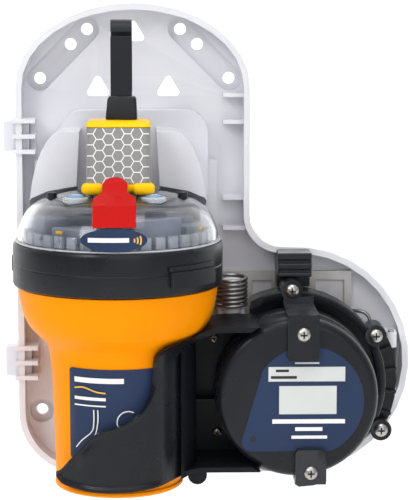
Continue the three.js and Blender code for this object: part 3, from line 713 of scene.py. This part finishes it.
LABEL_STROKES = (  # name, (x, z) route, half width, ink
    ("label_title", [(-28.5, -51.2), (-20, -51.2), (-12, -51.2), (-4, -51.2)], 1.3, PRINT_WHITE),
    ("label_wave", [(-28.5, -55.6), (-24, -54.9), (-18, -56.8), (-13, -57.4)], 0.35, PRINT_GOLD),
    ("label_line_1", [(-28.5, -60.5), (-21, -60.5), (-13, -60.5)], 0.8, PRINT_WHITE),
    ("label_line_2", [(-28.5, -64), (-21, -64), (-13, -64)], 0.35, PRINT_WHITE),
    ("label_stem_left", [(-19, -66), (-19, -72), (-20, -77), (-25, -82), (-28, -86)], 0.28, PRINT_WHITE),
    ("label_stem_right", [(-17, -66), (-17, -72), (-18.5, -79), (-22, -84)], 0.28, PRINT_WHITE),
    ("label_oval", [(-2 + 5.5 * math.cos(a), -72 + 5.5 * math.sin(a)) for a in angles(range(60, 250, 15))],
        0.28, PRINT_WHITE),
)


def make_beacon_labels():
    rounded("name_plate", 0.12, 1, sharp=60)
    rounded("body_label", 0.1, 1, sharp=60)
    plate_r = AXIS[1] - node_box("name_plate")[0][1] + 0.05
    for k, span in enumerate((1.4, 2.4, 3.4)):
        points = [(1.2 + 2.2 * k * 0.5 + 0.9 * math.cos(a) * span / 2, 20.6 + span * math.sin(a) * 0.8)
            for a in angles(range(-50, 51, 10))]
        arc = ribbon_on_cylinder(points, 0.35, plate_r)
        link_piece(f"plate_arc_{k + 1}", arc, PRINT_GOLD, "beacon")
    bar = ribbon_on_cylinder([(-20.5, 20.8), (-14, 20.8), (-7, 20.8), (-0.8, 20.8)], 1.1, plate_r)
    link_piece("plate_bar", bar, PRINT_WHITE, "beacon")
    for name, route, width, print_look in LABEL_STROKES:
        link_piece(name, ribbon_on_body(route, width), print_look, "beacon")


def ribbon_on(route, half_width, radius_at):
    """A thin printed stroke wrapped on a round surface; route holds (x, z) points seen from the front."""
    fine = smooth_curve([list(p) for p in route], 5)
    points = []
    for i, (x, z) in enumerate(fine):
        a, b = fine[max(0, i - 1)], fine[min(len(fine) - 1, i + 1)]
        run = Vector((b[0] - a[0], b[1] - a[1])).normalized()
        for side in (half_width, -half_width):
            px, pz = x - run.y * side, z + run.x * side
            for lift in (0, 0.12):
                r = radius_at(pz) + lift
                points.append((px, AXIS[1] - math.sqrt(max(0, r * r - (px - AXIS[0]) ** 2)), pz))
    return strip(points)


def ribbon_on_cylinder(route, half_width, radius):
    return ribbon_on(route, half_width, lambda z: radius)


def ribbon_on_body(route, half_width):
    """The label leans with the body's taper."""
    top_r, low_r = 35.2, 33.3
    return ribbon_on(route, half_width, lambda z: low_r + (top_r - low_r) * (z + 92) / 46.4)


# ---------- release module ----------
LABEL_PRINT = (  # name, x from and to, z from and to, ink
    ("label_date_window", 67.8, 106.2, -55.3, -47.9, WINDOW_GREY),
    ("label_main_window", 73.2, 102, -72, -57.6, WINDOW_GREY),
    ("label_caption_1", 69.8, 106.3, -76.8, -74.6, PRINT_WHITE),
    ("label_caption_2", 81.3, 95, -80.6, -78.7, PRINT_WHITE),
    ("label_caption_3", 79.5, 97.4, -84.6, -83, PRINT_WHITE),
    ("label_mark", 81, 93.2, -46.4, -45.5, WINDOW_GREY),
    ("label_date_line", 71.5, 78, -50.5, -49.2, BLACK_PRINT_AND_HOLE_SHADE),
    ("label_date_line_2", 69, 82, -53.9, -52.5, BLACK_PRINT_AND_HOLE_SHADE),
)
INLET_AT = (60.3, -84.5)


def make_puck():
    low, high = node_box("hru_cover")
    r, face, split = (high[0] - low[0]) / 2, low[1] + 0.52, high[1]
    back = node_box("hru_case")[1][1]
    rim_r, rim_depth = 4.6, 5.8
    corner = [(r - rim_r + rim_r * math.sin(a), face + rim_depth * (1 - math.cos(a)))
        for a in angles(range(0, 91, 10))]
    cover = [(0, face)] + corner + [(r, split), (37.5, split), (37.5, face + 3), (0, face + 3)]
    mesh = lathe(cover, PUCK, "Y", 160)
    piece = link_piece("hru_cover_fine", mesh, "black_plastic", "release_module", sharp=50)
    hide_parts("hru_cover")
    case = [(0, back), (r - 0.6, back), (r, back - 0.8), (r, split + 1.1), (r - 0.5, split + 0.5),
        (37.5, split + 0.5), (37.5, back - 3), (6, back - 3), (6, back - 1.5), (0, back - 1.5)]
    mesh = lathe(case, PUCK, "Y", 160)
    piece = link_piece("hru_case_fine", mesh, "black_plastic", "release_module", sharp=50)
    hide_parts("hru_case")
    rounded("hru_label", 0.05, 1, sharp=60)
    print_y = node_box("hru_label")[0][1]
    for name, x0, x1, z0, z1, look in LABEL_PRINT:
        proud = 0.14 if look is BLACK_PRINT_AND_HOLE_SHADE else 0.08
        link_piece(name, block(x0, x1, print_y - proud, print_y + 0.1, z0, z1), look, "release_module")
    # The inlet hole is not cut: a thin dark disc on the cover face stands in for it, as painted shade of the
    # hole.
    section = [(0, face - 0.1), (1.5, face - 0.1), (1.5, face + 0.3), (0, face + 0.3)]
    inlet = lathe(section, INLET_AT, "Y", 32)
    link_piece("label_inlet_painted_shade", inlet, BLACK_PRINT_AND_HOLE_SHADE, "release_module")
    for node in ("top_clamp", "bottom_clamp"):
        rounded(node, 0.6, 3)


SCREWS = (
    "ear_screw_1", "ear_screw_2", "ear_screw_3", "top_clamp_screw", "bottom_clamp_screw", "arm_screw_1",
    "arm_screw_2",
)
SHANK_R = 1.4


def make_screws():
    for node in SCREWS:
        low, high = node_box(node)
        cx, cz = (low[0] + high[0]) / 2, (low[2] + high[2]) / 2
        r, front, back = (high[0] - low[0]) / 2, low[1], high[1]
        depth = r * 0.62
        dish = [(r * math.sin(a), front + depth * (1 - math.cos(a))) for a in angles(range(0, 91, 9))]
        under = front + depth + 0.3
        profile = [(0, front)] + dish[1:] + [(r, under), (SHANK_R, under), (SHANK_R, back), (0, back)]
        mesh = lathe(profile, (cx, cz), "Y", 40)
        head = link_piece(node + "_fine", mesh, "plated_screw", body_of_node(node), sharp=50)
        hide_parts(node)
        # The cross recess is not cut: two thin dark bars on the head stand in for it, as painted shade of
        # the recess.
        arms = [block(cx - r * 0.5, cx + r * 0.5, front - 0.03, front + 0.5, cz - 0.42, cz + 0.42),
            block(cx - 0.42, cx + 0.42, front - 0.03, front + 0.5, cz - r * 0.5, cz + r * 0.5)]
        link_piece(node + "_recess_painted_shade", joined(arms), BLACK_PRINT_AND_HOLE_SHADE, body_of_node(node))


RING_OPENS_AT = 66.5  # left of this the ring gives way to the release arm


def make_ring():
    rounded("module_ring", 0.7, 3, sharp=30)
    lip = [(44.6, -42.2), (45.2, -42.8), (48, -42.8), (48.5, -42.2), (48.5, -40.4), (44.6, -40.4)]
    mesh = lathe(lip, PUCK, "Y", 160)
    work = bmesh.new()
    work.from_mesh(mesh)
    cut_x = Vector((RING_OPENS_AT, 0, 0)) * MM
    bmesh.ops.bisect_plane(work, geom=work.verts[:] + work.edges[:] + work.faces[:],
        plane_co=cut_x, plane_no=(-1, 0, 0), clear_outer=True)
    bmesh.ops.holes_fill(work, edges=work.edges)
    work.to_mesh(mesh)
    work.free()
    link_piece("ring_lip", mesh, "black_plastic", "release_module", sharp=50)




# ---------- release arm ----------
def make_arm():
    """The scoop that wraps the beacon is a smooth bent sheet; the channel beside it keeps its CAD shape."""
    mesh = frame["nodes"]["release_arm"].data.copy()
    work = bmesh.new()
    work.from_mesh(mesh)
    bmesh.ops.remove_doubles(work, verts=work.verts, dist=1e-6)
    join_x = 24.0  # left of this the bent sheet takes over
    cut = bmesh.ops.bisect_plane(work, geom=work.verts[:] + work.edges[:] + work.faces[:],
        plane_co=Vector((join_x, 0, 0)) * MM, plane_no=(-1, 0, 0), clear_outer=True)
    rim = [e for e in cut["geom_cut"] if isinstance(e, bmesh.types.BMEdge)]
    bmesh.ops.holes_fill(work, edges=rim)
    bmesh.ops.dissolve_limit(work, angle_limit=math.radians(0.6), verts=work.verts, edges=work.edges)
    work.to_mesh(mesh)
    work.free()
    channel = link_piece("release_arm_channel", mesh, "black_plastic", "release_module", 0.6, 3, 30)
    # The channel gets the darker copy of the housing black: painted shade in the recess.
    channel.data.materials[0] = CHANNEL_BLACK_SHADED
    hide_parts("release_arm")
    link_piece("release_arm_scoop", scoop_mesh(), "black_plastic", "release_module", 0.5, 3, 60)


# The scoop's upper and lower edges, as (x, z) points seen from the front.
SCOOP_TOP = [(-37.4, -98.4), (-35.6, -97.4), (-33.4, -95), (-29.7, -90.2), (-24.3, -84), (-17.8, -77),
    (-6, -73), (3.8, -67.4), (8.7, -61), (10.8, -55), (11.5, -46), (12, -39), (14.2, -35.4), (18.5, -33.4),
    (24, -32), (31.5, -30)]
SCOOP_FOOT = [(-37.4, -101), (-35.8, -102.8), (-32.8, -104.3), (-21, -105.9), (-6.3, -106), (8.5, -105),
    (18.5, -103.8), (31.5, -101.6)]
SCOOP_INNER, SCOOP_OUTER = 36.4, 39.2
FLARE_FROM, FLARE_KNEE = -42, -38.6  # heights where the scoop starts to follow the body's shoulder
FLARE_BELOW, FLARE_ABOVE = 0.3, 0.98  # how far it goes out for each millimetre up
LIP_PROUD = 1.1
SWELL_X, SWELL_Z, SWELL_SLOPE, SWELL_PROUD = -23, -88, 0.9, 1.7  # the thumb swelling at the lower left
SWELL_WIDE, SWELL_HIGH = 3.4, 4.6
SET_BACK = 1.9  # how far the right edge goes in, to meet the channel


def between(points, x):
    """The height at x of a line drawn through (x, height) points."""
    for (x0, h0), (x1, h1) in zip(points, points[1:]):
        if x <= x1:
            return h0 + (h1 - h0) * (x - x0) / (x1 - x0)
    return points[-1][1]


def ease(value, start, end):
    """0 at start, 1 at end, with no corner at either."""
    t = min(1, max(0, (value - start) / (end - start)))
    return t * t * (3 - 2 * t)


def scoop_row_heights(low, top):
    """Rows close together at both edges, for the rolled lip."""
    reach = min(3.2, (top - low) * 0.4)
    near = [reach * t for t in (0, 0.12, 0.28, 0.45, 0.62, 0.8)]
    middle_rows = [reach + (top - low - 2 * reach) * t / 12 for t in range(13)]
    return [low + d for d in near + middle_rows] + [top - d for d in reversed(near)]


def scoop_mesh():
    """A sheet bent round the beacon's neck, with a rolled lip, a swelling and a set-back right edge."""
    upper = smooth_curve(SCOOP_TOP, 6)
    foot = [tuple(p) for p in smooth_curve(SCOOP_FOOT, 6)]
    points, faces = [], []
    for x, top in upper:
        low = between(foot, x)
        away = x - AXIS[0]
        lean = math.atan2(away, math.sqrt(max(1, SCOOP_OUTER**2 - away**2)))
        for side in (SCOOP_OUTER, SCOOP_INNER):
            for z in scoop_row_heights(low, top):
                radius = side + FLARE_BELOW * max(0, min(z, FLARE_KNEE) - FLARE_FROM)
                radius += FLARE_ABOVE * max(0, z - FLARE_KNEE)
                if side == SCOOP_OUTER:
                    edge = min(z - low, top - z)
                    radius += LIP_PROUD * (1 - ease(edge, 1.2, 2.8)) * (1 - ease(x, 8, 16))
                    across = x - SWELL_X
                    up = z - SWELL_Z - SWELL_SLOPE * across
                    radius += SWELL_PROUD * math.exp(-(across / SWELL_WIDE) ** 2 - (up / SWELL_HIGH) ** 2)
                    radius -= SET_BACK * ease(x, 13, 22)
                points.append((AXIS[0] + radius * math.sin(lean), AXIS[1] - radius * math.cos(lean), z))
    rows = len(scoop_row_heights(0, 10)) - 1
    step = 2 * (rows + 1)
    for i in range(len(upper) - 1):
        a, b = i * step, (i + 1) * step
        for k in range(rows):
            faces.append((a + k, a + k + 1, b + k + 1, b + k))
            m = rows + 1 + k
            faces.append((a + m, b + m, b + m + 1, a + m + 1))
        faces.append((a, b, b + rows + 1, a + rows + 1))
        faces.append((a + rows, a + 2 * rows + 1, b + 2 * rows + 1, b + rows))
    for base in (0, (len(upper) - 1) * step):
        for k in range(rows):
            faces.append((base + k, base + k + rows + 1, base + k + rows + 2, base + k + 1))
    return from_faces(points, faces)


# ---------- bracket ----------
def make_bracket():
    rounded("back_tray", 1.3, 3, sharp=30)
    rounded("dome_cradle", 1.8, 4, sharp=28)
    for node in ("cover_clip_upper", "cover_clip_lower", "quick_release_block", "spring_post"):
        rounded(node, 0.8, 3)
    plate = rounded("steel_plate", 0.3, 2)
    plate.data.materials[0] = PLATE_STEEL
    rounded("module_hinge_pin", 0.3, 2)
    rounded("wire_bail", 0, 1, sharp=70)
    make_spring()


def make_spring():
    low, high = node_box("torsion_spring")
    cx, cy = (low[0] + high[0]) / 2, (low[1] + high[1]) / 2
    wire_r = 0.95
    r = (high[0] - low[0]) / 2 - wire_r
    turns, z0, z1 = 7, low[2] + wire_r, high[2] - wire_r
    route = []
    for i in range(turns * 36 + 1):
        a = math.pi + 2 * math.pi * i / 36
        route.append((cx + r * math.cos(a), cy + r * math.sin(a), z0 + (z1 - z0) * i / (turns * 36)))
    piece = link_piece("torsion_spring_fine", tube(route, wire_r), "spring_steel", "bracket", sharp=70)
    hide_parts("torsion_spring")


def tube(route, radius, sides=14):
    """A round wire along a list of points."""
    points = []
    for i, p in enumerate(route):
        a, b = Vector(route[max(0, i - 1)]), Vector(route[min(len(route) - 1, i + 1)])
        run = (b - a).normalized()
        side = run.cross(Vector((0, 0, 1))).normalized()
        rise = side.cross(run)
        for k in range(sides):
            turn = 2 * math.pi * k / sides
            across = side * radius * math.cos(turn)
            up = rise * radius * math.sin(turn)
            points.append(tuple(Vector(p) + across + up))
    return stitched(points, sides)


make_camera()
make_studio()
make_body()
make_collar()
make_dome()
make_inside()
make_keys()
make_tower()
make_beacon_labels()
make_puck()
make_screws()
make_ring()
make_arm()
make_bracket()
